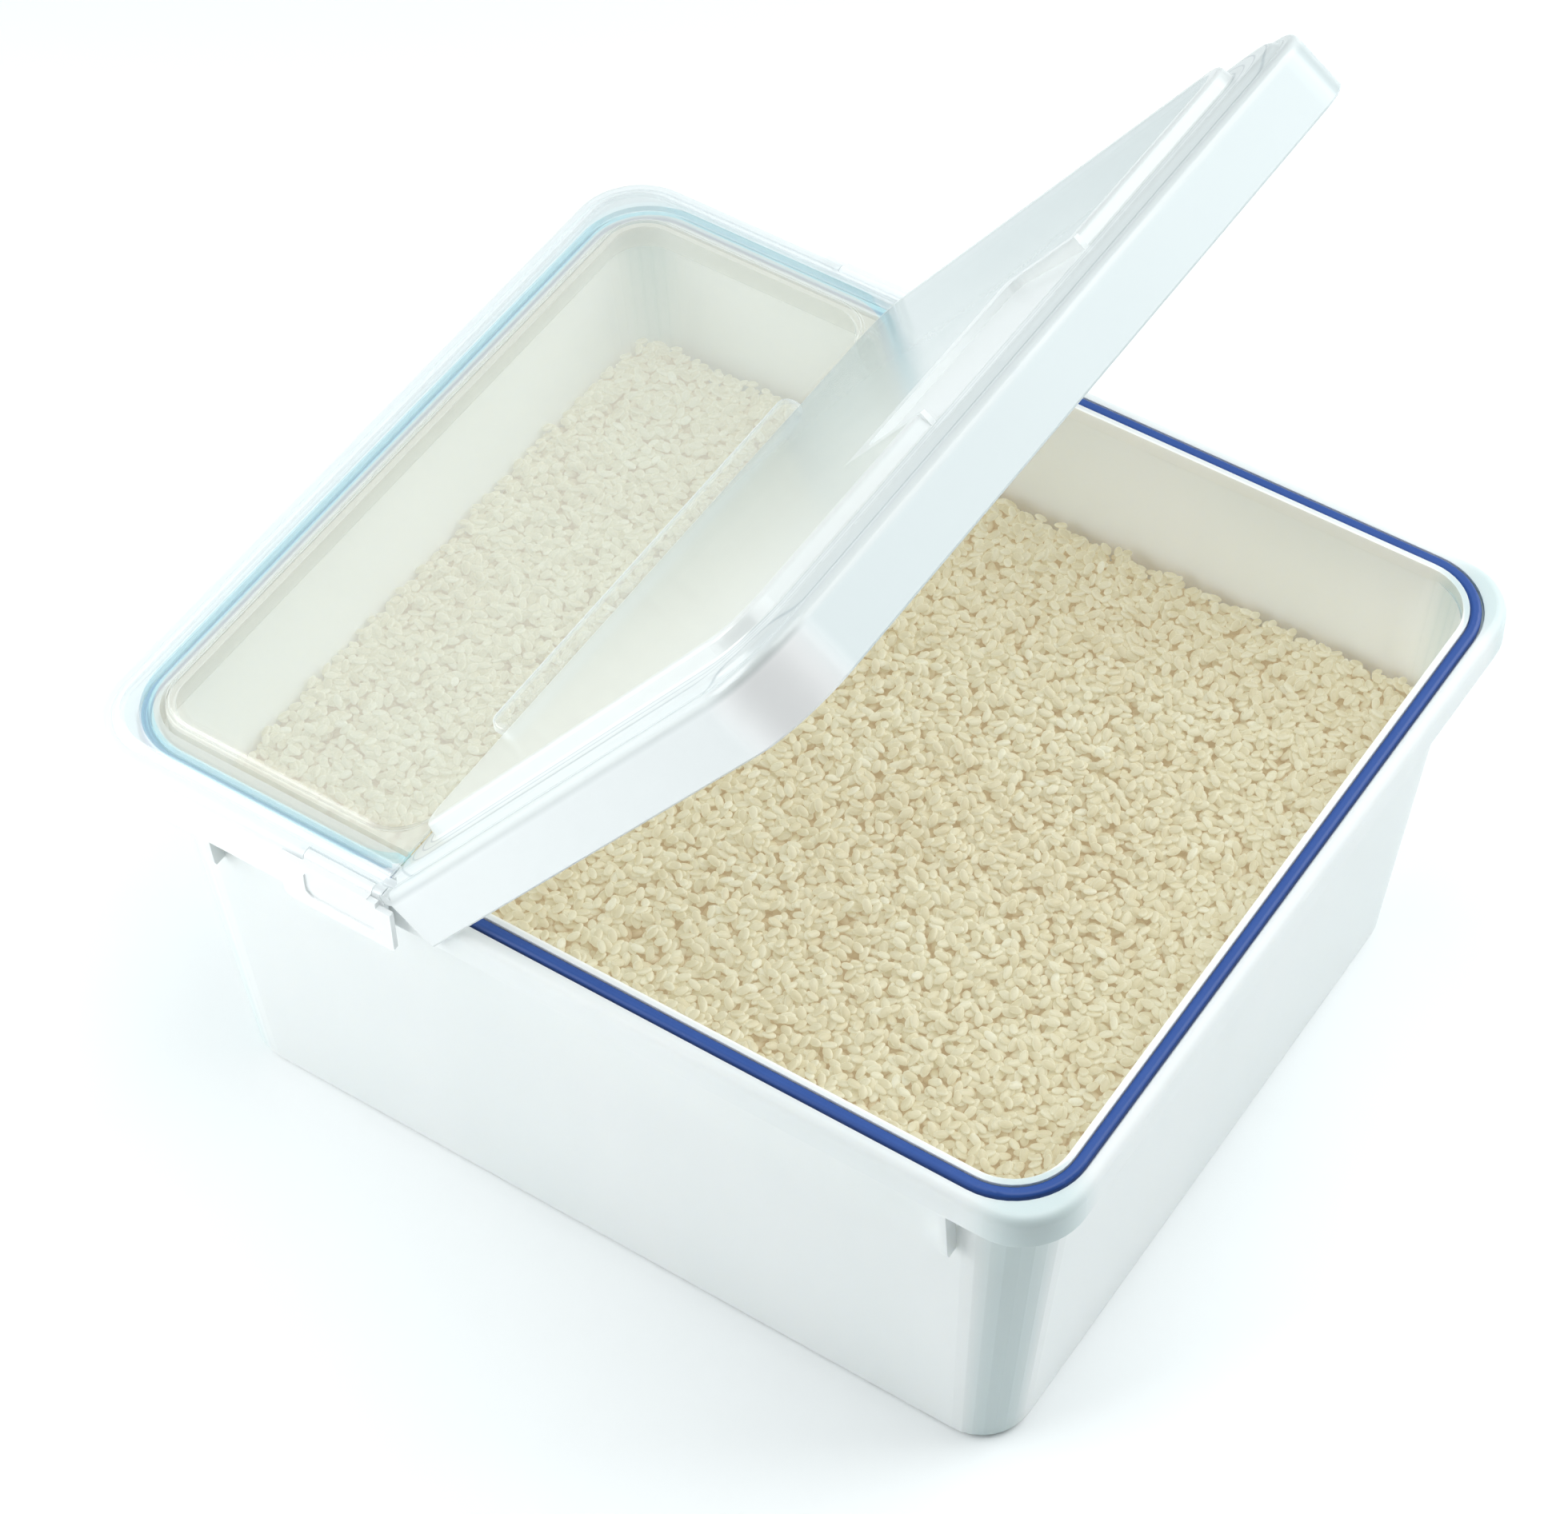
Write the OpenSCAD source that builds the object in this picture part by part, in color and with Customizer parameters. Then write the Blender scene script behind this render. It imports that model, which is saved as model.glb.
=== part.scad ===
// Rice bin with a flip lid.
// A tapered white tub with a rolled rim and a blue seal, and a clear lid in
// two halves: a fixed half held by two side clips, and a flap that swings up
// on pins beside the clips.
// X runs from the hinge end to the open end, Y along the hinge, Z is up.
// The origin is the middle of the flat base. The flap is drawn part open.

/* [Tub] */
// Length of the tub over the rolled rim
rim_l = 355; // [352:1:358]
// Width of the tub over the rolled rim
rim_w = 300; // [298:1:302]
// Height of the rim's flat top above the table
rim_z = 165; // [164:0.5:166]
// Length of the flat base
base_l = 307; // [300:1:312]
// Width of the flat base
base_w = 264; // [258:1:268]
// Thickness of the tub's floor
floor_t = 3; // [2.5:0.5:4]
// Corner radius of the rim
rim_r = 22; // [20:1:24]
// Depth of the rim's hanging skirt
rim_drop = 13.5; // [10:0.5:16]

/* [Seal] */
// Half length of the seal's centre line
seal_x = 170.3; // [170:0.1:170.6]
// Half width of the seal's centre line
seal_y = 142.8; // [142.6:0.1:143]
// Corner radius of the seal's centre line
seal_r = 23; // [20:1:25]
// Width of the seal
seal_w = 3.8; // [3.4:0.1:3.9]

/* [Lid] */
// Length of the closed lid
lid_l = 363; // [362:0.5:364]
// Width of the closed lid
lid_w = 306; // [305.5:0.5:307]
// Corner radius of the lid
lid_r = 25; // [24:0.5:26]
// Height of the lid's outer edge
edge_z = 169.2; // [169:0.1:170]
// Depth of the lid's skirt below its edge
skirt_h = 21.7; // [18:0.5:23]
// Wall thickness of the lid
lid_t = 2; // [1.8:0.1:2.2]
// Rise of the flap's centre panel above the lid edge
flap_rise = 7.3; // [6.5:0.1:8]
// Rise of the fixed half's centre panel above the lid edge
fixed_rise = 4; // [3.5:0.1:4.5]
// Width of the finger recess in the flap
recess_w = 80; // [60:1:100]
// Depth of the finger recess from the panel's free edge
recess_d = 33; // [20:1:40]

/* [Hinge] */
// Hinge line, measured from the middle of the tub towards the fixed half
hinge_back = 56; // [55:0.5:57]
// Angle of the flap as drawn, from closed
flap_open = 54.3; // [0:0.1:56]
// Diameter of the hinge pins
pin_d = 2; // [1.6:0.1:2.2]
// Length of the stop bar beside the hinge
bar_len = 168; // [120:1:200]
// Width of the stop bar
bar_w = 9.4; // [8:0.1:9.6]

/* [Clips] */
// Width of each side clip
clip_w = 42.5; // [42:0.5:43]
// Height of each side clip's plate
clip_h = 20.2; // [18:0.1:22]
// Thickness of each side clip's plate
clip_t = 2; // [1.8:0.1:2.4]

/* [Hidden] */
wall_sx = 0.0957;              // slope of the end walls
wall_sy = 0.0529;              // slope of the long walls
roll_r = 3.5;                  // rolled edge of the rim
rib_x = 138.5;                 // gussets under the rim
rib_t = 3;
ax = -hinge_back;              // hinge axis
az = edge_z - 1.2;
nose_r = 3.5;                  // hinge barrel along the flap
nose_y = 137;                  // half length of the whole barrel
nose_y1 = 145.9;               // half length of its upper part
ear_r = 2.1;                   // ears that the hinge pins go through
ear_y0 = 146.3;                // fixed half's ear, from and to
ear_y1 = 149.1;
gap = 0.35;                    // room round the turning parts
plat_z = edge_z + 2.3;         // border level inside the lid's edge
panel_in = 19.6;               // inset of the panels' top edge
panel_r = 14;
locate_in = 15.9;              // inset of the locating wall
locate_r = 17;
flap_top = edge_z + flap_rise;
fixed_top = edge_z + fixed_rise;
clip_y = lid_w/2 - 1.9;        // clip axis
clip_z = edge_z - 1.9;
clip_x0 = -96;                 // plate's end away from the hinge
cut_x0 = -88;                  // cut-out in the lid's edge, from and to
cut_x1 = -61.6;
clip_pin_r = 0.8;
white = [0.94, 0.96, 0.96];
blue = [0.25, 0.40, 0.68];
clear = [0.86, 0.95, 0.95, 0.55];
$fn = 72;

// Flat rounded rectangle, true arcs in the corners
module rr(l, w, r) {
    square([l - 2*r, w], center = true);
    square([l, w - 2*r], center = true);
    for (sx = [-1, 1], sy = [-1, 1])
        translate([sx*(l/2 - r), sy*(w/2 - r)]) circle(r);
}

// A section swept once round a rounded rectangle. The section's x is the
// distance outside the outline, its y is the height.
module ring(l, w, r) {
    for (s = [0, 1]) rotate([0, 0, 180*s]) {
        translate([l/2, w/2 - r, 0]) rotate([90, 0, 0])
            linear_extrude(w - 2*r) children();
        translate([-l/2 + r, w/2, 0]) rotate([90, 0, 90])
            linear_extrude(l - 2*r) children();
        translate([l/2 - r, w/2 - r, 0])
            rotate_extrude(angle = 90) translate([r, 0]) children();
        translate([-l/2 + r, w/2 - r, 0])
            rotate([0, 0, 90]) rotate_extrude(angle = 90) translate([r, 0]) children();
    }
}

// A bar along Y with the section drawn in X and Z
module along_y(y0, y1) {
    translate([0, y1, 0]) rotate([90, 0, 0]) linear_extrude(y1 - y0) children();
}

module cyl_y(x, z, r, y0, y1) {
    translate([x, y1, z]) rotate([90, 0, 0]) cylinder(r = r, h = y1 - y0);
}

module cyl_x(y, z, r, x0, x1) {
    translate([x0, y, z]) rotate([0, 90, 0]) cylinder(r = r, h = x1 - x0);
}

// Outer half sizes of the tapered wall at a height
function wall_x(z) = base_l/2 + wall_sx*z;
function wall_y(z) = base_w/2 + wall_sy*z;

module wall_slice(z, off, r, h = 0.2) {
    translate([0, 0, z]) linear_extrude(h)
        rr(2*(wall_x(z) - off), 2*(wall_y(z) - off), r, $fn = 32);
}

// ---------------------------------------------------------------- tub
module tub_rib() {
    // a thin gusset under the rim
    rotate([90, 0, 90]) linear_extrude(rib_t, center = true)
        polygon([[wall_y(119) - 1, 119], [142.6, 119], [143.4, 121],
                 [145, 144], [146.4, 161], [wall_y(161) - 0.6, 161]]);
}

// tapered body, open at the top, that runs up into the rim
module tub_body(top_z) {
    difference() {
        hull() {
            linear_extrude(0.2) rr(base_l - 5, base_w - 5, 15.5, $fn = 32);
            wall_slice(0.9, 0.75, 17.4);
            wall_slice(2.8, 0, 18);
            wall_slice(top_z + 0.3, 0, 25);
        }
        hull() {
            translate([0, 0, floor_t]) linear_extrude(0.2)
                rr(2*wall_x(floor_t) - 13, 2*wall_y(floor_t) - 13, 12, $fn = 32);
            wall_slice(floor_t + 1.4, 3.2, 14.6);
            wall_slice(floor_t + 5, 2.6, 15.4);
            translate([0, 0, top_z + 1]) linear_extrude(0.2)
                rr(2*(seal_x - 3.8), 2*(seal_y - 3.8), 21, $fn = 32);
        }
    }
}

// rim: rolled outer edge, hanging skirt, seal groove and inner lip
module tub_rim(top_z) {
    ring(rim_l, rim_w, rim_r) {
        translate([-2.2, rim_z - rim_drop + 0.9]) square([2.2, rim_drop - 4.4]);
        translate([-1.3, rim_z - rim_drop]) square([0.4, 1.5]);
        translate([-1.3, rim_z - rim_drop + 0.9]) circle(0.9, $fn = 32);
        translate([-0.9, rim_z - rim_drop + 0.9]) circle(0.9, $fn = 32);
    }
    difference() {
        union() {
            translate([0, 0, top_z]) linear_extrude(rim_z - top_z - roll_r)
                rr(rim_l, rim_w, rim_r);
            translate([0, 0, top_z]) linear_extrude(rim_z - top_z)
                rr(rim_l - 2*roll_r, rim_w - 2*roll_r, rim_r - roll_r);
            ring(rim_l, rim_w, rim_r) translate([-roll_r, rim_z - roll_r]) circle(roll_r);
        }
        translate([0, 0, rim_z - 2]) linear_extrude(9)
            rr(2*(seal_x + 2.8), 2*(seal_y + 2.8), seal_r + 2.8);
        translate([0, 0, top_z - 5]) linear_extrude(12)
            rr(2*(seal_x - 4.1), 2*(seal_y - 4.1), seal_r - 4.1);
    }
    translate([0, 0, top_z + 1]) linear_extrude(rim_z + 1.2 - top_z - 1) difference() {
        rr(2*(seal_x - 2), 2*(seal_y - 2), seal_r - 2);
        rr(2*(seal_x - 4.1), 2*(seal_y - 4.1), seal_r - 4.1);
    }
}

module tub() {
    top_z = rim_z - 4.4;
    color(white) union() {
        tub_body(top_z);
        tub_rim(top_z);
        for (sx = [-1, 1], sy = [0, 180])
            rotate([0, 0, sy]) translate([sx*rib_x, 0, 0]) tub_rib();
    }
}

module tub_gasket() {
    h = seal_w/2;
    color(blue) ring(2*seal_x, 2*seal_y, seal_r) {
        translate([-h, rim_z - 2]) square([seal_w, 1.7]);
        translate([-h + 1.3, rim_z - 0.3]) circle(1.3, $fn = 32);
        translate([h - 1.3, rim_z - 0.3]) circle(1.3, $fn = 32);
        translate([-h + 1.3, rim_z - 0.3]) square([seal_w - 2.6, 1.3]);
    }
}

// ---------------------------------------------------------------- lid shell
// Edge of the lid: skirt, roll, fine groove, step up to the border
module edge_section() {
    polygon(concat(
        [[0, edge_z - skirt_h + 0.6], [0, edge_z - 2.5]],
        [for (a = [10:10:80]) [-2.5 + 2.5*cos(a), edge_z - 2.5 + 2.5*sin(a)]],
        [[-2.5, edge_z], [-3.7, edge_z], [-3.95, edge_z - 0.5], [-4.25, edge_z - 0.5],
         [-4.5, edge_z], [-5.1, edge_z + 0.15], [-5.8, edge_z + 0.7],
         [-6.6, edge_z + 1.5], [-7.4, edge_z + 2.05], [-8.4, plat_z],
         [-9.5, plat_z], [-9.5, plat_z - lid_t], [-8.2, plat_z - lid_t],
         [-7.2, edge_z - 0.4], [-5.6, edge_z - lid_t + 0.1], [-4.6, edge_z - lid_t],
         [-3.4, edge_z - lid_t], [-2.6, edge_z - lid_t - 0.3],
         [-lid_t, edge_z - lid_t - 1], [-lid_t, edge_z - skirt_h + 0.6],
         [-lid_t + 0.6, edge_z - skirt_h], [-0.6, edge_z - skirt_h]]));
}

// Side of a centre panel, from its foot on the border to its rounded top edge
module panel_section(top) {
    polygon(concat(
        [[2.6, plat_z], [1.9, plat_z + 0.1], [1.5, plat_z + 0.5]],
        [[0.9, top - 1.5], [0.75, top - 0.95], [0.4, top - 0.45], [-0.1, top - 0.12],
         [-0.8, top]],
        [[-3, top], [-3, top - lid_t], [-1.6, top - lid_t], [-1.2, top - lid_t - 0.5]],
        [[-0.7, plat_z - lid_t + 0.6], [-0.2, plat_z - lid_t], [2.6, plat_z - lid_t]]));
}

// Border plate and centre panel, the panel running from x0 to x1
module lid_plate(x0, x1, top) {
    pw = lid_w - 2*panel_in;
    pl = x1 - x0;
    cx = (x0 + x1)/2;
    translate([0, 0, plat_z - lid_t]) linear_extrude(lid_t) difference() {
        rr(lid_l - 18, lid_w - 18, lid_r - 9);
        translate([cx, 0]) rr(pl + 5, pw + 5, panel_r + 2.5);
    }
    translate([cx, 0, 0]) {
        ring(pl, pw, panel_r) panel_section(top);
        translate([0, 0, top - lid_t]) linear_extrude(lid_t) rr(pl - 5.9, pw - 5.9, panel_r - 2.95);
    }
}

// Rib that presses towards the seal
module seal_rib() {
    ring(2*seal_x, 2*seal_y, seal_r) {
        translate([-1.5, rim_z + 2.2]) square([3, plat_z - rim_z - 3]);
        translate([0, rim_z + 2.4]) circle(0.75, $fn = 24);
    }
}

module half_space(x, side) {
    translate([side > 0 ? x : x - 400, -200, 100]) cube([400, 400, 120]);
}

// ---------------------------------------------------------------- fixed half
module fixed_lid() {
    yi = lid_w/2;
    color(clear) difference() {
        union() {
            difference() {
                intersection() {
                    union() {
                        ring(lid_l, lid_w, lid_r) edge_section();
                        lid_plate(-lid_l/2 + panel_in, ax - 6.5, fixed_top);
                        seal_rib();
                        // locating wall inside the tub's mouth
                        ring(lid_l - 2*locate_in, lid_w - 2*locate_in, locate_r)
                            translate([-lid_t, plat_z - 13]) square([lid_t - 0.2, 12.5]);
                    }
                    half_space(ax - 3.3, -1);
                }
                // hollow that the flap's barrel turns in
                cyl_y(ax, az, nose_r + gap, -nose_y1 - 0.3, nose_y1 + 0.3);
            }
            for (s = [-1, 1]) {
                // end of the skirt, right up to the flap
                intersection() {
                    ring(lid_l, lid_w, lid_r) edge_section();
                    translate([ax - 3.4, s > 0 ? 149.3 : -160, 140]) cube([2.2, 10.7, 40]);
                }
                // hinge ears and their roots
                scale_y(s) {
                    cyl_y(ax, az, ear_r, ear_y0, ear_y1);
                    translate([ax - 4.2, ear_y0, az - 1.6]) cube([4.2, ear_y1 - ear_y0, 1.6 + ear_r]);
                    // ears for the clip pin
                    cyl_x(clip_y, clip_z, 1.9, cut_x0 - 3, cut_x0);
                    cyl_x(clip_y, clip_z, 1.9, cut_x1, ax - 2.7);
                }
            }
        }
        for (s = [-1, 1]) scale_y(s) {
            // blind bore of the hinge ear
            cyl_y(ax, az, pin_d/2 + 0.01, ear_y0 + 0.5, ear_y1 + 0.5);
            // room for the flap's ears
            cyl_y(ax, az, ear_r + gap, ear_y1 + 0.1, 156);
            // cut-out that the clip's barrel lies in, and the catch's window
            translate([cut_x0, yi - 4, clip_z - 2.3]) cube([cut_x1 - cut_x0, 6, 8]);
            translate([-83, yi - 3, 151]) cube([16, 5, 9.5]);
            // bores for the clip pin
            cyl_x(clip_y, clip_z, clip_pin_r + 0.01, cut_x0 - 2.5, ax - 2);
        }
    }
}

// The left side is the mirror image of the right
module scale_y(s) {
    if (s > 0) children();
    else mirror([0, 1, 0]) children();
}

// A clear bar beside the hinge that the open flap leans against
module stop_bar() {
    x0 = ax - 1.7 - bar_w;
    z0 = fixed_top;
    color([0.90, 0.97, 0.98, 0.6])
    translate([x0 + bar_w/2, 0, z0]) {
        linear_extrude(2.1) rr(bar_w, bar_len, 4.2);
        linear_extrude(3.3) rr(bar_w - 2.4, bar_len - 2.4, 3);
        translate([0, 0, 2.1]) ring(bar_w - 2.4, bar_len - 2.4, 3) circle(1.2, $fn = 32);
    }
}

// ---------------------------------------------------------------- flap
// The flap as it lies when closed
module flap_closed() {
    fx = lid_l/2 - panel_in;
    difference() {
        union() {
            difference() {
                intersection() {
                    union() {
                        ring(lid_l, lid_w, lid_r) edge_section();
                        lid_plate(ax + 8, fx, flap_top);
                        seal_rib();
                        recess_shell(fx);
                    }
                    half_space(ax, 1);
                }
                recess_cut(fx);
                // room for the fixed half's ears and the seal rib's end
                for (s = [-1, 1]) scale_y(s) {
                    translate([ax - 1, ear_y0 - 0.3, az - 5]) cube([3.7, ear_y1 - ear_y0 + 0.55, 12]);
                    translate([ax - 1, 140, az - 5]) cube([2, 6.1, 6.4]);
                }
            }
            // barrel along the hinge inside the tub's mouth
            cyl_y(ax, az, nose_r, -nose_y, nose_y);
            // over the rim only its upper part is left
            for (s = [-1, 1]) scale_y(s) {
                along_y(nose_y - 0.1, nose_y1) translate([ax, az]) intersection() {
                    difference() {
                        circle(nose_r);
                        circle(1.45);
                    }
                    polygon([[0.2, 0], [-5*cos(47), 5*sin(47)], [-5, 6], [0.2, 6]]);
                }
                cyl_y(ax, az, ear_r, ear_y1 + 0.3, lid_w/2);
            }
        }
        for (s = [-1, 1]) scale_y(s)
            cyl_y(ax, az, pin_d/2 + 0.06, ear_y1 - 0.1, lid_w/2 - 0.7);
    }
}

// Finger recess in the middle of the free edge: a floor that slopes down
// to the border, with a wall behind it
module recess_plan(fx, grow) {
    translate([fx + 10, 0]) rr(2*(recess_d + 10 + grow), recess_w + 2*grow, 6 + grow);
}

module recess_slope(fx, dz, t) {
    z1 = flap_top - 2.7 + dz;
    z2 = plat_z + 0.1 + dz;
    x1 = fx - recess_d;
    along_y(-60, 60) polygon([[x1 - 12, z1 + 0.9], [x1, z1], [fx + 3, z2],
                              [fx + 3, z2 + t], [x1 - 12, z1 + 0.9 + t]]);
}

module recess_cut(fx) {
    intersection() {
        translate([0, 0, 160]) linear_extrude(30) intersection() {
            recess_plan(fx, 0);
            translate([fx - 80, -80]) square([80 + 2.4, 160]);
        }
        recess_slope(fx, 0, 12);
    }
}

module recess_shell(fx) {
    intersection() {
        translate([0, 0, plat_z - lid_t]) linear_extrude(flap_top - plat_z + lid_t) intersection() {
            recess_plan(fx, lid_t);
            translate([fx - 80, -80]) square([80 + 2, 160]);
        }
        union() {
            recess_slope(fx, -lid_t, lid_t);
            // walls of the recess
            translate([0, 0, 160]) linear_extrude(flap_top - 160) difference() {
                recess_plan(fx, lid_t);
                recess_plan(fx, 0);
            }
        }
        recess_slope(fx, -lid_t, 14);
    }
}

module flip_lid() {
    color(clear)
    translate([ax, 0, az]) rotate([0, -flap_open, 0]) translate([-ax, 0, -az])
        flap_closed();
}

module hinge_pin(s) {
    color([0.85, 0.88, 0.88]) scale_y(s)
        cyl_y(ax, az, pin_d/2, ear_y0 + 0.5, lid_w/2 - 0.8);
}

// ---------------------------------------------------------------- side clips
module side_clip(s) {
    x1 = clip_x0 + clip_w;
    yo = lid_w/2 + 0.3;
    zb = edge_z - 2.5 - clip_h;
    color([0.93, 0.97, 0.97, 0.75]) scale_y(s) difference() {
        union() {
            // barrel on the pin, and the arm to the plate
            cyl_x(clip_y, clip_z, 1.85, cut_x0 + 0.3, cut_x1 - 0.3);
            translate([cut_x0 + 0.3, clip_y, clip_z - 1.85])
                cube([cut_x1 - cut_x0 - 0.6, yo + clip_t - clip_y, 1.85]);
            // plate with rounded lower corners
            translate([0, yo + clip_t, 0]) rotate([90, 0, 0]) linear_extrude(clip_t)
                clip_outline(x1, zb);
            // catch that bears on the tub's rim
            translate([-81.5, yo - 2.9, 153]) cube([13, 3.2, 5.5]);
        }
        // shallow finger panel
        translate([0, yo + clip_t + 1, 0]) rotate([90, 0, 0]) linear_extrude(1.7)
            translate([(-87 - 57.6)/2, (152.2 + 164.2)/2]) rr(29.4, 12, 3.4, $fn = 40);
        cyl_x(clip_y, clip_z, clip_pin_r + 0.06, cut_x0 - 1, cut_x1 + 1);
    }
}

module clip_outline(x1, zb) {
    r = 3;
    translate([clip_x0 + r, zb + r]) circle(r, $fn = 40);
    translate([x1 - 1.2, zb + 1.2]) circle(1.2, $fn = 24);
    translate([clip_x0 + r, zb]) square([clip_w - r - 1.2, r]);
    translate([clip_x0, zb + r]) square([clip_w, 164.4 - zb - r]);
    translate([x1 - 4, zb + 1.2]) square([4, 3]);
    translate([clip_x0, 164.3]) square([ax - 2.8 - clip_x0, edge_z - 2.5 - 164.3]);
}

module clip_pin(s) {
    color([0.85, 0.88, 0.88]) scale_y(s)
        cyl_x(clip_y, clip_z, clip_pin_r, cut_x0 - 2.4, ax - 2.9);
}

module clip_left() { side_clip(-1); }
module clip_right() { side_clip(1); }
module hinge_pin_left() { hinge_pin(-1); }
module hinge_pin_right() { hinge_pin(1); }
module clip_pin_left() { clip_pin(-1); }
module clip_pin_right() { clip_pin(1); }

tub();
tub_gasket();
fixed_lid();
stop_bar();
flip_lid();
hinge_pin_left();
hinge_pin_right();
clip_left();
clip_right();
clip_pin_left();
clip_pin_right();
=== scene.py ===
"""Rice bin with a flip lid: finishes, rice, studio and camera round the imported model.

Lengths are in metres, in the bin's own frame: +X from the hinge end to the
open end, +Z up, the origin in the middle of the flat base.
"""
import math

import bpy
import numpy as np
from mathutils import Matrix, Vector


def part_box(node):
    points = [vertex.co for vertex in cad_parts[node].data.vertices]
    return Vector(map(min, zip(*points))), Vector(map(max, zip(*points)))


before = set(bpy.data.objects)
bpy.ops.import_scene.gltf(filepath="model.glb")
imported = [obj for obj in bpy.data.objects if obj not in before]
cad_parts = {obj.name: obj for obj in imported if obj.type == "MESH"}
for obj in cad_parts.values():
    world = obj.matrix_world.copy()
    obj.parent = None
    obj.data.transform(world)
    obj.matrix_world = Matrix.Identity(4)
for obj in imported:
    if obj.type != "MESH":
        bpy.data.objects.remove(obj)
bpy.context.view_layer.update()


# ---------------------------------------------------------------- tub
# The tub is one injection moulding in opaque white polypropylene, with a
# satin surface that has a fine orange peel, faint flow marks where the melt
# slowed, and light scuffs where the rim is handled.

MM = 0.001
# Outer half length, half width and corner radius at the base, and what each gains per metre up
WALL_X, WALL_X_GAIN = 0.1535, 0.0957
WALL_Y, WALL_Y_GAIN = 0.1320, 0.0529
WALL_CORNER, WALL_CORNER_GAIN = 0.018, 0.0435

class Value:
    """A socket of a finish. Sums on it add Math nodes to the finish."""

    def __init__(self, finish, socket):
        self.finish = finish
        self.socket = socket

    def sum(self, operation, first, second):
        return self.finish.node("Math", {"operation": operation}, {0: first, 1: second})

    def __add__(self, other):
        return self.sum("ADD", self, other)

    __radd__ = __add__

    def __sub__(self, other):
        return self.sum("SUBTRACT", self, other)

    def __rsub__(self, other):
        return self.sum("SUBTRACT", other, self)

    def __mul__(self, other):
        return self.sum("MULTIPLY", self, other)

    __rmul__ = __mul__

    def __truediv__(self, other):
        return self.sum("DIVIDE", self, other)

    def __pow__(self, other):
        return self.sum("POWER", self, other)

    def __abs__(self):
        return self.sum("ABSOLUTE", self, 0)

    def at_least(self, low):
        return self.sum("MAXIMUM", self, low)

    def between(self, low, high):
        """0 below low, 1 above high, with a smooth rise."""
        return self.finish.node("MapRange", {"interpolation_type": "SMOOTHSTEP"},
                                {"Value": self, "From Min": low, "From Max": high})


class Finish:
    """A material that is built node by node, with one Principled shader."""

    def __init__(self, name, **constants):
        self.material = bpy.data.materials.new(name)
        self.material.use_nodes = True
        self.tree = self.material.node_tree
        self.tree.nodes.clear()
        self.output = self.tree.nodes.new("ShaderNodeOutputMaterial")
        self.shader = self.surface(**constants)
        self.tree.links.new(self.shader.outputs[0], self.output.inputs["Surface"])
        self.place = self.node("TexCoord", out="Object")

    def surface(self, **constants):
        shader = self.tree.nodes.new("ShaderNodeBsdfPrincipled")
        for name, value in constants.items():
            shader.inputs[name.replace("_", " ")].default_value = value
        return shader

    def node(self, kind, settings=None, sockets=None, out=0):
        made = self.tree.nodes.new("ShaderNode" + kind)
        for name, value in (settings or {}).items():
            if name == "stops":
                ramp = made.color_ramp.elements
                while len(ramp) < len(value):
                    ramp.new(0.5)
                for stop, (place, colour) in zip(ramp, value):
                    stop.position = place
                    stop.color = (*colour, 1)
            else:
                setattr(made, name, value)
        for key, value in (sockets or {}).items():
            self.feed(made.inputs[key], value)
        return Value(self, made.outputs[out])

    def feed(self, socket, value):
        if isinstance(value, Value):
            self.tree.links.new(value.socket, socket)
        elif isinstance(value, tuple) and socket.type == "RGBA":
            socket.default_value = (*value, 1)
        else:
            socket.default_value = value

    def noise(self, size, detail=2.0, where=None, rough=0.5):
        """Noise whose spots are about that many millimetres across."""
        return self.node("TexNoise", None, {"Vector": where or self.place, "Scale": 1 / (size * MM),
                                            "Detail": detail, "Roughness": rough})

    def stretched(self, x, y, z):
        """The place on the object, scaled along each axis."""
        return self.node("VectorMath", {"operation": "MULTIPLY"},
                         {0: self.place, 1: (x, y, z)})

    def mix(self, factor, first, second):
        return self.node("Mix", {"data_type": "RGBA"}, {0: factor, 6: first, 7: second}, out=2)

    def height(self):
        return self.node("SeparateXYZ", None, {"Vector": self.place}, out="Z")

    def bump(self, height, distance, strength):
        """Relief that is that many millimetres deep."""
        return self.node("Bump", None, {"Height": height, "Distance": distance * MM,
                                        "Strength": strength})

    def paint(self, **sockets):
        for name, value in sockets.items():
            self.feed(self.shader.inputs[name.replace("_", " ")], value)


def finish_node(name, finish):
    """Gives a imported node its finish."""
    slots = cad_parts[name].data.materials
    slots.clear()
    slots.append(finish.material)


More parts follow.
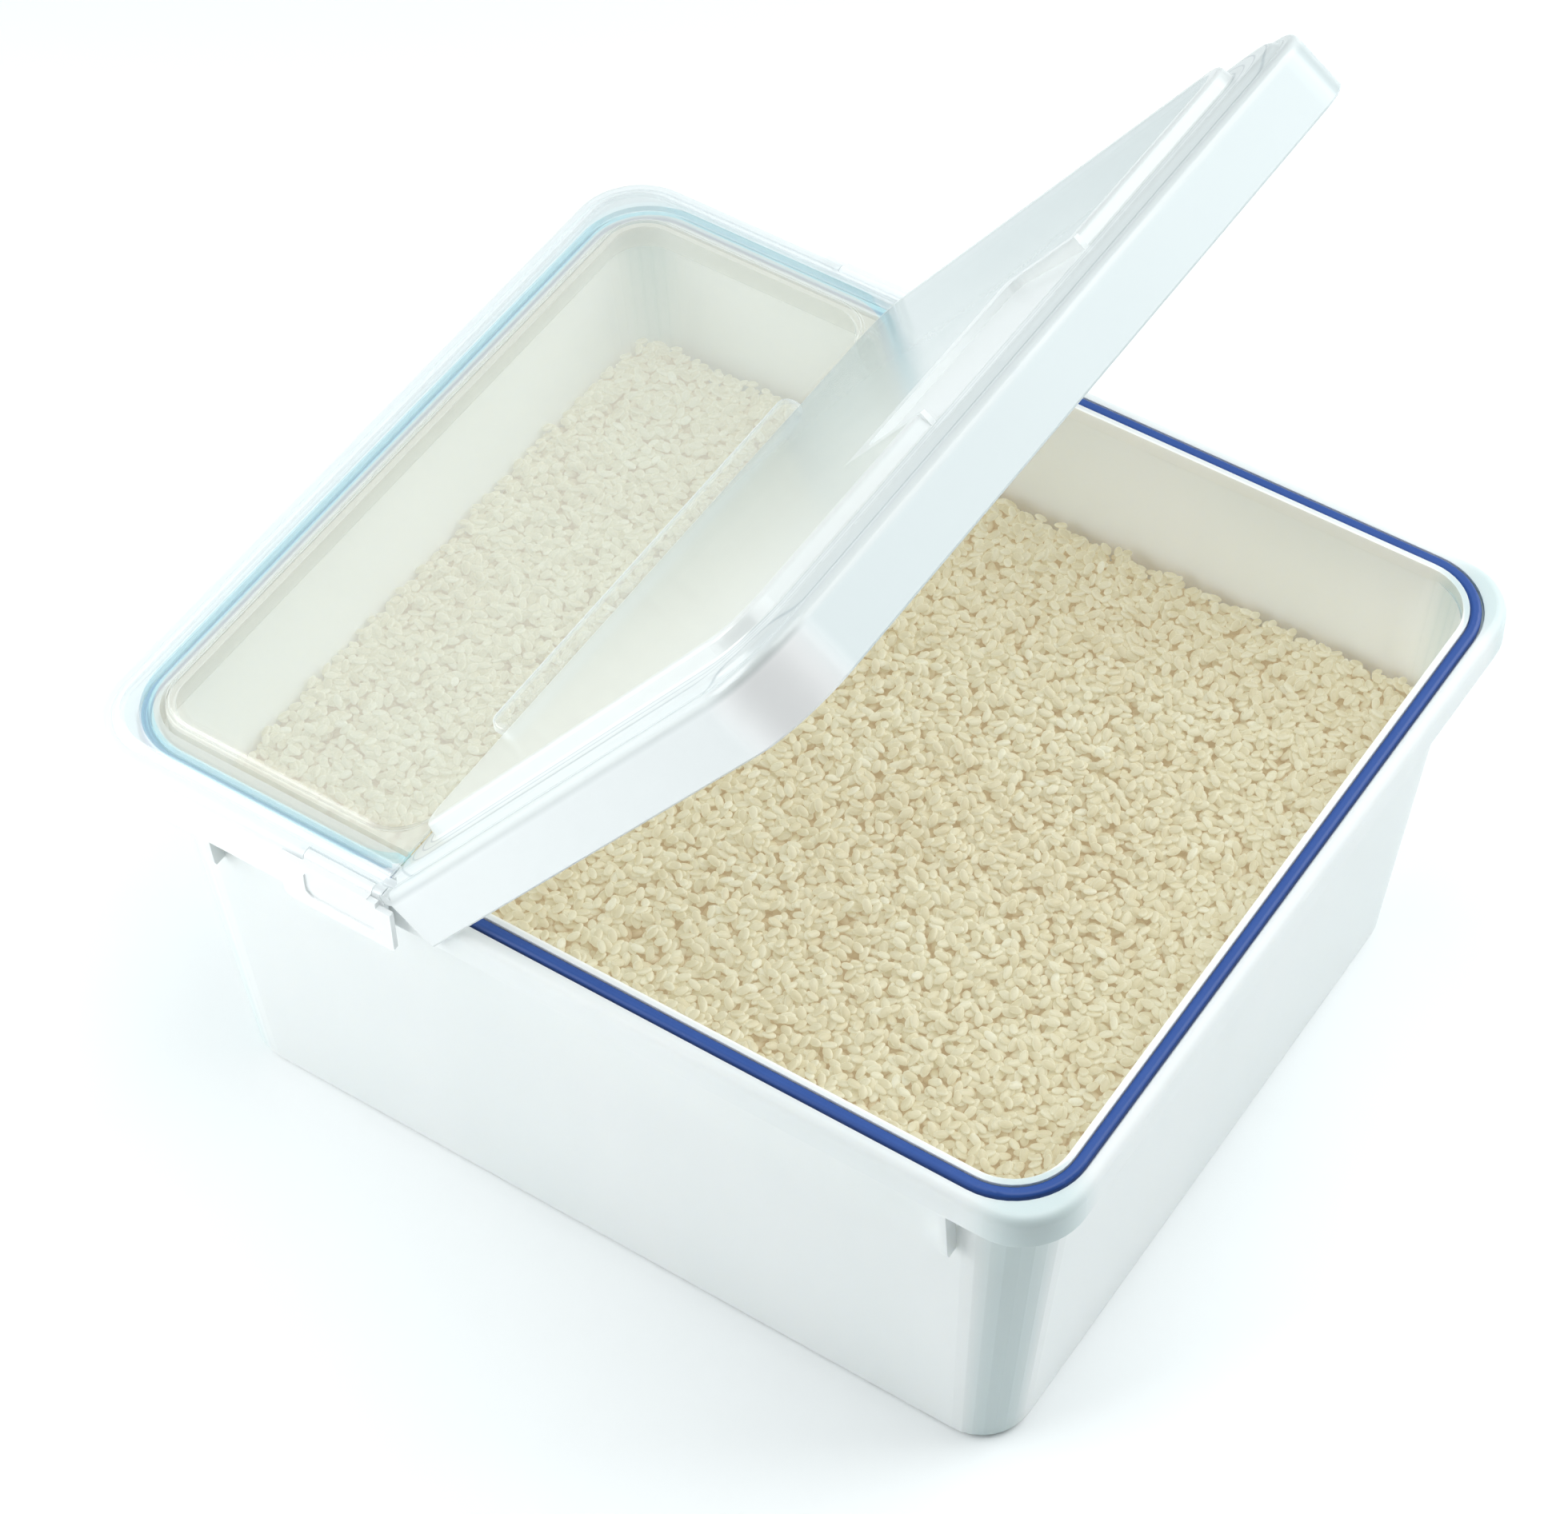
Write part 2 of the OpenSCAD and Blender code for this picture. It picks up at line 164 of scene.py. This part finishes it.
def white_polypropylene():
    """Inside painted lighter and outside painted a shade darker, and greyer round the upright corners
    with painted shade.
    """
    white = Finish("white_polypropylene", IOR=1.49, Specular_IOR_Level=0.45, Subsurface_Weight=0.35,
                   Subsurface_Radius=(1.0, 0.95, 0.85), Subsurface_Scale=3 * MM)
    peel = white.noise(1.6, 3)
    flow = white.noise(60, 3, white.stretched(1, 1, 0.35))
    scuffs = white.noise(9, 5, white.stretched(0.25, 0.25, 6), 0.7)
    x, y, z = (white.node("SeparateXYZ", None, {"Vector": white.place}, out=axis) for axis in "XYZ")
    near_rim = z.between(140 * MM, 166 * MM)
    across = (abs(x) - (WALL_X - WALL_CORNER) - (WALL_X_GAIN - WALL_CORNER_GAIN) * z).at_least(0)
    along = (abs(y) - (WALL_Y - WALL_CORNER) - (WALL_Y_GAIN - WALL_CORNER_GAIN) * z).at_least(0)
    round_corner = across * across + along * along
    past_wall = round_corner ** 0.5 - WALL_CORNER - WALL_CORNER_GAIN * z
    outer = past_wall.between(-1.9 * MM, -0.9 * MM)
    corner = (across * along / round_corner).between(0.1, 0.5)
    # Painted light and shade: the inside is painted lighter and the outside darker, with random flow
    # marks in both.
    inside_painted_light = white.mix(flow.between(0.35, 0.7), (0.91, 0.935, 0.915), (0.935, 0.95, 0.93))
    outside_painted_shade = white.mix(flow.between(0.35, 0.7), (0.79, 0.83, 0.83), (0.82, 0.85, 0.85))
    # Painted shade: the upright corners outside are painted grey.
    outside_painted_shade = white.mix(corner, outside_painted_shade, (0.63, 0.725, 0.73))
    white.paint(
        Base_Color=white.mix(outer, inside_painted_light, outside_painted_shade),
        Roughness=0.30 + 0.10 * flow + 0.14 * scuffs.between(0.52, 0.72) * near_rim,
        Normal=white.bump(peel, 0.02, 0.35))
    return white


finish_node("tub", white_polypropylene())


# ---------------------------------------------------------------- seal
# The seal is a ring of royal blue silicone rubber that lies in the rim's
# groove. It is moulded with a slightly matt skin and picks up fine dust.

def blue_silicone():
    blue = Finish("blue_silicone", IOR=1.43, Specular_IOR_Level=0.5)
    skin = blue.noise(0.7, 2)
    dust = blue.noise(2.2, 4, None, 0.7).between(0.62, 0.78)
    shade = blue.noise(24, 2)
    blue.paint(
        Base_Color=blue.mix(0.06 * dust, blue.mix(shade, (0.022, 0.072, 0.29), (0.032, 0.092, 0.34)),
                            (0.55, 0.60, 0.68)),
        Roughness=0.34 + 0.12 * shade + 0.25 * dust,
        Normal=blue.bump(skin, 0.03, 0.4))
    return blue


finish_node("tub_gasket", blue_silicone())


# ---------------------------------------------------------------- clear lid
# Both halves of the lid are moulded in natural, uncoloured polypropylene. The
# centre panels are polished, so the rice shows through them; the border is
# frosted and the skirt is milky. All of it has a faint aqua tint.

HINGE = (-56 * MM, 0, 168 * MM)
OPEN_ANGLE = math.radians(54.3)
EDGE_Z = 169.2 * MM
PANEL_MILK, SKIRT_MILK = 0.17, 0.93
PANEL_HALF_Y = 131.5 * MM
PANEL_CORNER = 14 * MM
SHADOW_LOSS = 0.60
ZONE_BLEND = 0.3 * MM
# Where the finger recess starts along x, and its half width
SCOOP_X, SCOOP_Y = (121 * MM, 124 * MM), (42 * MM, 45 * MM)
# Where the side skirts turn into the skirt across the free end
FREE_SKIRT_X = (162 * MM, 172 * MM)
# Where the painted light on the left free corner starts: along x, and as a product of x and y insets
LEFT_CORNER_X, LEFT_CORNER_AREA = (100 * MM, 110 * MM), (250 * MM * MM, 700 * MM * MM)


def see_through(clear, milk, tint, blur):
    """Thin clear plastic: milk is how much it hides, blur how dull its mirror is.

    Milky plastic scatters most light onwards, so its shadow is lighter than it looks.
    """
    facing = clear.node("LayerWeight", {}, {"Blend": 0.5}, out="Facing")
    in_shadow = clear.node("LightPath", out="Is Shadow Ray")
    hides = milk + (0.97 - milk) * 1.3 * facing ** 3
    clear.paint(Base_Color=tint, Alpha=hides * (1 - SHADOW_LOSS * in_shadow), Roughness=blur)
    mirror = clear.surface(Base_Color=(0.92, 0.965, 0.97, 1), Metallic=1.0)
    clear.feed(mirror.inputs["Roughness"], blur)
    glance = 0.035 + 0.15 * facing ** 5
    both = clear.node("MixShader", None, {0: glance, 1: Value(clear, clear.shader.outputs[0]),
                                          2: Value(clear, mirror.outputs[0])})
    clear.tree.links.new(both.socket, clear.output.inputs["Surface"])


def lid_polypropylene(name, closed_angle, panel, panel_from, zones, skin, tints):
    """A lid half. panel is where its raised panel starts and ends along x.

    Only what lies above panel_from is polished. Each zone starts that far outside
    the panel, and has a milkiness and a colour. skin says how much of them the top
    face of the border keeps. tints are the colours of the panel's left and right
    sides, the side skirts and the skirt across the free end; a darker right side
    or free end is painted shade.
    """
    clear = Finish(name, IOR=1.49, Specular_IOR_Level=0.5)
    closed = clear.node("VectorRotate", {"rotation_type": "Y_AXIS"},
                        {"Vector": clear.place, "Center": HINGE, "Angle": closed_angle})
    x, y, z = (clear.node("SeparateXYZ", None, {"Vector": closed}, out=axis) for axis in "XYZ")
    across = (abs(x - sum(panel) / 2) - ((panel[1] - panel[0]) / 2 - PANEL_CORNER)).at_least(0)
    along = (abs(y) - (PANEL_HALF_Y - PANEL_CORNER)).at_least(0)
    outward = (across * across + along * along) ** 0.5 - PANEL_CORNER
    cloud = clear.noise(70, 3)
    frost = clear.noise(0.6, 3)

    scoop = x.between(*SCOOP_X) * (1 - abs(y).between(*SCOOP_Y))
    raised = z.between(panel_from - 1 * MM, panel_from)
    polished = (1 - outward.between(-1 * MM, 0)) * raised * (1 - scoop)
    milk, tint = zones[0][1], zones[0][2]
    for start, zone_milk, zone_tint in zones[1:]:
        beyond = outward.between(start - ZONE_BLEND, start + ZONE_BLEND)
        milk = milk + (zone_milk - milk) * beyond
        tint = clear.mix(beyond, tint, zone_tint)
    top_face = z.between(EDGE_Z + 1.2 * MM, EDGE_Z + 1.8 * MM)
    milk = milk * (1 - (1 - skin) * top_face)
    tint = clear.mix(top_face * (1 - skin), tint, zones[-1][2])
    # Painted shade: the panel's colour grades from the left side (-y) to the right side (+y).
    middle = clear.mix(y.between(-PANEL_HALF_Y, PANEL_HALF_Y), tints[0], tints[1])
    milk = milk + (PANEL_MILK - milk) * polished
    tint = clear.mix(polished, tint, clear.mix(cloud * 0.2, middle, (1, 1, 1)))
    below_edge = 1 - z.between(EDGE_Z - 4.5 * MM, EDGE_Z - 2.5 * MM)
    skirt = below_edge * outward.between(13 * MM, 15 * MM)
    milk = milk + (SKIRT_MILK - milk) * skirt
    # Painted shade: the skirt across the free end can take a darker colour than the side skirts.
    skirt_tint_and_painted_shade = clear.mix(x.between(*FREE_SKIRT_X), tints[2], tints[3])
    # Painted light: the skirt at the left free corner is painted nearly white.
    left = (-1 * y - (PANEL_HALF_Y - PANEL_CORNER)).at_least(0)
    left_corner_painted_light = (across * left).between(*LEFT_CORNER_AREA) * x.between(*LEFT_CORNER_X)
    tint = clear.mix(skirt, tint, clear.mix(left_corner_painted_light, skirt_tint_and_painted_shade, (0.98, 0.985, 0.985)))
    see_through(clear, milk * (0.96 + 0.08 * cloud), tint, 0.20 - 0.12 * polished + 0.06 * frost)
    clear.paint(Normal=clear.bump(frost * (1 - polished), 0.02, 0.08))
    return clear


# The fixed half: a creamy collar round the panel, which is painted warm light from the rice below, a
# pale blue ring over the seal, a frosted border
COLLAR_PAINTED_GLOW, OVER_SEAL, BORDER = (0.78, 0.785, 0.725), (0.58, 0.93, 1.0), (0.90, 0.945, 0.955)
FIXED_PANEL, FIXED_SKIRT = (0.84, 0.925, 0.925), (0.89, 0.925, 0.93)
finish_node("fixed_lid", lid_polypropylene(
    "fixed_lid_polypropylene", closed_angle=0.0, panel=(-159 * MM, -62 * MM), panel_from=150 * MM,
    zones=((0, 0.55, COLLAR_PAINTED_GLOW), (9.2 * MM, 0.40, OVER_SEAL), (13.4 * MM, 0.60, BORDER)),
    skin=0.35, tints=(FIXED_PANEL, FIXED_PANEL, FIXED_SKIRT, FIXED_SKIRT)))

# The flap: the walls and ribs under its border show through as four thin grey lines. Its border and
# skirts are painted a shade darker than the fixed half's, though it is the same plastic.
RIB_LINES, RIB_HALF = (5.6, 9.2, 13.4, 18.0), 0.35
RIB, FLAP_COLLAR, FLAP_BORDER = (0.50, 0.55, 0.57), (0.80, 0.83, 0.83), (0.71, 0.755, 0.76)
flap_zones = [(0, 0.75, FLAP_COLLAR)]
for rib_line in RIB_LINES:
    flap_zones += [((rib_line - RIB_HALF) * MM, 0.85, RIB),
                   ((rib_line + RIB_HALF) * MM, 0.75, FLAP_BORDER)]
# Painted shade: the flap's panel is painted much darker towards its right side (+y), and the skirt
# across its free end darker than its side skirts.
finish_node("flip_lid", lid_polypropylene(
    "flip_lid_polypropylene", closed_angle=OPEN_ANGLE, panel=(-47 * MM, 159 * MM),
    panel_from=173.5 * MM, zones=flap_zones, skin=1.0,
    tints=((0.80, 0.83, 0.80), (0.32, 0.43, 0.44), (0.82, 0.855, 0.86), (0.57, 0.635, 0.645))))


# ---------------------------------------------------------------- small clear parts
# The stop bar, the side clips and the pins are moulded in the same natural
# polypropylene. The bar is polished and clear; the clips and pins are milky.

def small_polypropylene(name, milk, tint):
    clear = Finish(name, IOR=1.49, Specular_IOR_Level=0.5)
    cloud = clear.noise(14, 3)
    peel = clear.noise(1.1, 2)
    see_through(clear, milk * (0.94 + 0.12 * cloud), clear.mix(cloud, tint, (0.92, 0.95, 0.955)),
                0.12 + 0.10 * cloud)
    clear.paint(Normal=clear.bump(peel, 0.015, 0.3))
    return clear


def bar_polypropylene():
    """Clear like the panels, with the light gathered in its long edges and ends."""
    low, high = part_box("stop_bar")
    bar = Finish("bar_polypropylene", IOR=1.49, Specular_IOR_Level=0.5)
    x, y = (bar.node("SeparateXYZ", None, {"Vector": bar.place}, out=axis) for axis in "XY")
    side = abs(x - (low[0] + high[0]) / 2) - (high[0] - low[0]) / 2
    end = abs(y) - high[1]
    edge = side.between(-1.6 * MM, -0.3 * MM) * 0.8 + end.between(-3 * MM, -0.5 * MM) * 0.5
    see_through(bar, 0.07 + 0.4 * edge, (0.90, 0.95, 0.96), 0.12 + 0.08 * bar.noise(14, 3))
    bar.paint(Normal=bar.bump(bar.noise(1.1, 2), 0.015, 0.3))
    return bar


finish_node("stop_bar", bar_polypropylene())
clip_finish = small_polypropylene("clip_polypropylene", 0.85, (0.92, 0.95, 0.955))
pin_finish = small_polypropylene("pin_polypropylene", 0.95, (0.84, 0.87, 0.87))
for side in ("left", "right"):
    finish_node(f"clip_{side}", clip_finish)
    finish_node(f"clip_pin_{side}", pin_finish)
    finish_node(f"hinge_pin_{side}", pin_finish)


# ---------------------------------------------------------------- rice
# The bin is filled with polished short-grain rice to about 115 mm. The rice
# is contents, not part of the bin. Its grains are squat ovals with a notch
# where the germ was, dropped one by one onto the grains below them.

RICE_LEVEL = 115 * MM
GRAIN = (4.9 * MM, 2.9 * MM, 1.9 * MM)
GRAIN_KINDS = 6
GRAINS = 30000
# Half sizes of the cavity at the base, and the room that grains leave at the walls
CAVITY_X, CAVITY_Y, WALL_ROOM = 0.1530, 0.1295, 0.0006


def rice_finish():
    rice = Finish("polished_rice", IOR=1.5, Specular_IOR_Level=0.35)
    each = rice.node("ObjectInfo", out="Random")
    chalk = rice.noise(2.4, 2)
    spot = rice.node("NewGeometry", out="Position")
    patch = rice.node("TexNoise", None, {"Vector": spot, "Scale": 22.0})
    level = rice.node("SeparateXYZ", None, {"Vector": spot}, out="Z")
    # Painted shade: grains that lie deeper in the heap are painted a darker brown.
    deep_painted_shade = 1 - level.between(RICE_LEVEL - 3.6 * MM, RICE_LEVEL - 1.2 * MM)
    # Painted light: each grain is painted lighter below its top, so its edges glow.
    rim = 1 - rice.height().between(0.15 * GRAIN[2], 0.42 * GRAIN[2])
    grain = rice.node("ValToRGB", {"stops": [(0.0, (0.435, 0.395, 0.265)), (0.5, (0.465, 0.43, 0.305)),
                                             (0.88, (0.49, 0.465, 0.345)), (1.0, (0.58, 0.58, 0.50))]},
                      {"Fac": 0.85 * each + 0.15 * chalk})
    grain = rice.mix(patch.between(0.42, 0.62) * 0.35, grain, (0.44, 0.39, 0.26))
    lit = rice.mix(rim * 0.55, grain, (0.545, 0.525, 0.41))
    tone = rice.mix(deep_painted_shade * 0.8, lit, (0.40, 0.325, 0.205))
    # Painted light: the rice glows with its own colour, though it is no lamp.
    rice.paint(Base_Color=tone, Emission_Color=tone, Emission_Strength=0.58,
               Roughness=0.34 + 0.15 * chalk)
    return rice


def inside_half(z):
    """Half sizes of the tub's cavity at a height."""
    return CAVITY_X + WALL_X_GAIN * z - WALL_ROOM, CAVITY_Y + WALL_Y_GAIN * z - WALL_ROOM


def grain_shape(index, finish):
    """One grain: an oval, fuller at one end, notched at the other."""
    shape = np.random.default_rng(40 + index)
    around, along = 12, 10
    length, width, depth = (g * shape.uniform(0.92, 1.06) for g in GRAIN)
    points = []
    for i in range(1, along):
        t = math.pi * i / along
        u = -math.cos(t)
        r = math.sin(t) ** 0.92 * (1 + 0.08 * u)
        for j in range(around):
            a = 2 * math.pi * j / around
            notch = 0.18 * max(0, u - 0.35) * max(0, math.cos(a))
            points.append((u * length / 2 * (1 - notch), r * math.cos(a) * width / 2 * (1 - notch),
                           r * math.sin(a) * depth / 2))
    points += [(-length / 2, 0, 0), (length / 2 * 0.96, 0, 0)]
    faces = [(i * around + j, i * around + (j + 1) % around, (i + 1) * around + (j + 1) % around,
              (i + 1) * around + j) for i in range(along - 2) for j in range(around)]
    first, last = len(points) - 2, len(points) - 1
    top = (along - 2) * around
    faces += [(first, (j + 1) % around, j) for j in range(around)]
    faces += [(last, top + j, top + (j + 1) % around) for j in range(around)]
    mesh = bpy.data.meshes.new(f"rice_grain_{index}")
    mesh.from_pydata(points, [], faces)
    mesh.shade_smooth()
    mesh.materials.append(finish.material)
    grain = bpy.data.objects.new(mesh.name, mesh)
    bpy.context.scene.collection.objects.link(grain)
    return grain


def scatter(index, grain, spots):
    """Lays a grain on each spot: a small square face that carries one copy."""
    mesh = bpy.data.meshes.new(f"rice_spots_{index}")
    side = 0.5 * MM
    corners = [Vector(c) * side for c in ((-1, -1, 0), (1, -1, 0), (1, 1, 0), (-1, 1, 0))]
    points = [turn @ corner + place for place, turn in spots for corner in corners]
    mesh.from_pydata(points, [], [tuple(range(4 * i, 4 * i + 4)) for i in range(len(spots))])
    carrier = bpy.data.objects.new(mesh.name, mesh)
    bpy.context.scene.collection.objects.link(carrier)
    carrier.instance_type = "FACES"
    carrier.show_instancer_for_render = False
    carrier.show_instancer_for_viewport = False
    grain.parent = carrier


def footprints(cell, turns):
    """For each turn of a grain: the cells that it covers, and its half depth over them."""
    half = (GRAIN[0] / 2, GRAIN[1] / 2, GRAIN[2] / 2)
    reach = int(half[0] / cell) + 1
    across, up = np.meshgrid(np.arange(-reach, reach + 1), np.arange(-reach, reach + 1), indexing="ij")
    for turn in range(turns):
        angle = math.pi * turn / turns
        u = (across * math.cos(angle) + up * math.sin(angle)) * cell / half[0]
        v = (up * math.cos(angle) - across * math.sin(angle)) * cell / half[1]
        covered = u * u + v * v < 1
        yield across[covered], up[covered], half[2] * np.sqrt(1 - (u * u + v * v)[covered])


def drop_rice():
    """Drops the grains: each looks for a low place, leans with the slope and comes to rest."""
    order = np.random.default_rng(7)
    cell, turns, steepest = 0.5 * MM, 24, 0.35
    prints = list(footprints(cell, turns))
    half_x, half_y = inside_half(RICE_LEVEL)
    nx, ny = int(2 * half_x / cell), int(2 * half_y / cell)
    x = (np.arange(nx) + 0.5) * cell - half_x
    y = (np.arange(ny) + 0.5) * cell - half_y
    corner = 18 * MM
    dx = np.maximum(abs(x) - half_x + corner, 0)[:, None]
    dy = np.maximum(abs(y) - half_y + corner, 0)[None, :]
    wall = dx * dx + dy * dy > corner * corner
    surface = 0.9 * MM * np.sin(x * 31 + 1.0)[:, None] * np.sin(y * 27 + 2.0)[None, :]
    edge = 6
    tries = 4
    spots = []
    for _ in range(GRAINS):
        i = order.integers(edge, nx - edge, tries)
        j = order.integers(edge, ny - edge, tries)
        low = int(np.argmin(surface[i, j]))
        i, j, turn = int(i[low]), int(j[low]), int(order.integers(turns))
        across, up, thick = prints[turn]
        rows, columns = i + across, j + up
        if rows.min() < 0 or columns.min() < 0 or rows.max() >= nx or columns.max() >= ny:
            continue
        if wall[rows, columns].any():
            continue
        under = surface[rows, columns]
        slope_x = np.clip((under * across).sum() / (across * across).sum() / cell, -steepest, steepest)
        slope_y = np.clip((under * up).sum() / (up * up).sum() / cell, -steepest, steepest)
        lean = (slope_x * across + slope_y * up) * cell
        middle = np.percentile(under - lean + 0.8 * thick, 90)
        surface[rows, columns] = np.maximum(under, middle + lean + thick)
        spots.append((x[i], y[j], middle, slope_x, slope_y, math.pi * turn / turns))
    return spots, float(surface[~wall].mean())


def fill_with_rice():
    finish = rice_finish()
    spots, top = drop_rice()
    order = np.random.default_rng(8)
    laid = [[] for _ in range(GRAIN_KINDS)]
    for x, y, z, slope_x, slope_y, angle in spots:
        up = Vector((-slope_x, -slope_y, 1)).normalized()
        angle += math.pi * int(order.integers(2))
        ahead = Vector((math.cos(angle), math.sin(angle), 0))
        ahead = (ahead - ahead.dot(up) * up).normalized()
        turn = Matrix((ahead, up.cross(ahead), up)).transposed()
        laid[order.integers(GRAIN_KINDS)].append((Vector((x, y, z - top + RICE_LEVEL)), turn))
    for kind in range(GRAIN_KINDS):
        scatter(kind, grain_shape(kind, finish), laid[kind])
    # The flat bed under the grains lies deep, so it takes the same painted shade.
    inset, sunk = 6 * MM, 6.5 * MM
    half_x, half_y = (half - inset for half in inside_half(RICE_LEVEL))
    z = RICE_LEVEL - sunk
    corners = [(half_x, -half_y), (half_x, half_y), (-half_x, half_y), (-half_x, -half_y)]
    bed = bpy.data.meshes.new("rice_bed")
    bed.from_pydata([(x, y, z) for x, y in corners], [], [(0, 1, 2, 3)])
    bed.materials.append(finish.material)
    bed = bpy.data.objects.new("rice_bed", bed)
    bpy.context.scene.collection.objects.link(bed)


fill_with_rice()


# ---------------------------------------------------------------- studio
# A white table that runs far past the bin, a bright pale room, and three soft
# lights: one at the left, one behind on the right, and one almost overhead.

def studio_table():
    paper = Finish("white_table", Roughness=0.9, Specular_IOR_Level=0.1)
    paper.paint(Base_Color=paper.mix(paper.noise(300, 2), (0.94, 0.97, 0.975), (0.96, 0.98, 0.985)))
    mesh = bpy.data.meshes.new("table")
    reach = 6.0
    mesh.from_pydata([(-reach, -reach, 0), (reach, -reach, 0), (reach, reach, 0), (-reach, reach, 0)],
                     [], [(0, 1, 2, 3)])
    mesh.materials.append(paper.material)
    table = bpy.data.objects.new("table", mesh)
    bpy.context.scene.collection.objects.link(table)


def soft_light(name, azimuth, elevation, distance, width, height, power):
    light = bpy.data.lights.new(name, "AREA")
    light.shape = "RECTANGLE"
    light.size = width
    light.size_y = height
    light.energy = power
    lamp = bpy.data.objects.new(name, light)
    a, e = math.radians(azimuth), math.radians(elevation)
    towards = Vector((math.sin(a) * math.cos(e), -math.cos(a) * math.cos(e), math.sin(e)))
    middle = Vector((0, 0, 0.12))
    lamp.location = middle + distance * towards
    lamp.rotation_euler = towards.to_track_quat("Z", "Y").to_euler()
    bpy.context.scene.collection.objects.link(lamp)


ROOM_STRENGTH = 0.69
# For each dimmer side: its azimuth, the cosines between which the light falls, and what is kept
DIMMER_SIDES = ((45, -0.1, 0.6, 0.0), (-90, 0.1, 0.9, 0.3))


def studio_room():
    """Pale light from all round, dimmer from the front corner and from the hinge end."""
    room = bpy.data.worlds.new("room")
    room.use_nodes = True
    tree = room.node_tree
    sky = tree.nodes["Background"]
    towards = tree.nodes.new("ShaderNodeTexCoord").outputs["Generated"]
    strength = ROOM_STRENGTH
    for azimuth, first, last, kept in DIMMER_SIDES:
        side = tree.nodes.new("ShaderNodeVectorMath")
        side.operation = "DOT_PRODUCT"
        turn = math.radians(azimuth)
        side.inputs[1].default_value = (math.sin(turn), -math.cos(turn), 0)
        tree.links.new(towards, side.inputs[0])
        ramp = tree.nodes.new("ShaderNodeMapRange")
        ramp.interpolation_type = "SMOOTHSTEP"
        for name, value in (("From Min", first), ("From Max", last), ("To Min", 1.0), ("To Max", kept)):
            ramp.inputs[name].default_value = value
        tree.links.new(side.outputs["Value"], ramp.inputs["Value"])
        product = tree.nodes.new("ShaderNodeMath")
        product.operation = "MULTIPLY"
        tree.links.new(ramp.outputs[0], product.inputs[0])
        if isinstance(strength, float):
            product.inputs[1].default_value = strength
        else:
            tree.links.new(strength, product.inputs[1])
        strength = product.outputs[0]
    tree.links.new(strength, sky.inputs["Strength"])
    sky.inputs["Color"].default_value = (0.87, 0.97, 0.985, 1)
    bpy.context.scene.world = room


studio_table()
studio_room()
soft_light("light_left", azimuth=-46, elevation=22, distance=0.95, width=0.95, height=0.75, power=7.8)
soft_light("light_right", azimuth=140, elevation=32, distance=1.3, width=1.2, height=1.1, power=11)
soft_light("light_top", azimuth=90, elevation=76, distance=1.6, width=1.3, height=1.3, power=11)
bpy.context.scene.view_settings.view_transform = "Standard"


# ---------------------------------------------------------------- camera
# A long lens looks down over the near corner, from the left of the open end.

CAMERA_AZIMUTH = math.radians(34.812)
CAMERA_HEIGHT = math.radians(50.53)
CAMERA_ROLL = math.radians(-1.834)
CAMERA_PLACE = (0.514352, -0.758694, 1.230115)
CAMERA_LENS = 101.24

eye = bpy.data.cameras.new("camera")
eye.sensor_fit = "HORIZONTAL"
eye.sensor_width = 36.0
eye.lens = CAMERA_LENS
camera = bpy.data.objects.new("camera", eye)
back = Vector((math.sin(CAMERA_AZIMUTH) * math.cos(CAMERA_HEIGHT),
               -math.cos(CAMERA_AZIMUTH) * math.cos(CAMERA_HEIGHT), math.sin(CAMERA_HEIGHT)))
level = Vector((math.cos(CAMERA_AZIMUTH), math.sin(CAMERA_AZIMUTH), 0))
rise = back.cross(level)
right = level * math.cos(CAMERA_ROLL) + rise * math.sin(CAMERA_ROLL)
up = rise * math.cos(CAMERA_ROLL) - level * math.sin(CAMERA_ROLL)
turned = Matrix((right, up, back)).transposed().to_4x4()
camera.matrix_world = Matrix.Translation(CAMERA_PLACE) @ turned
bpy.context.scene.collection.objects.link(camera)
bpy.context.scene.camera = camera
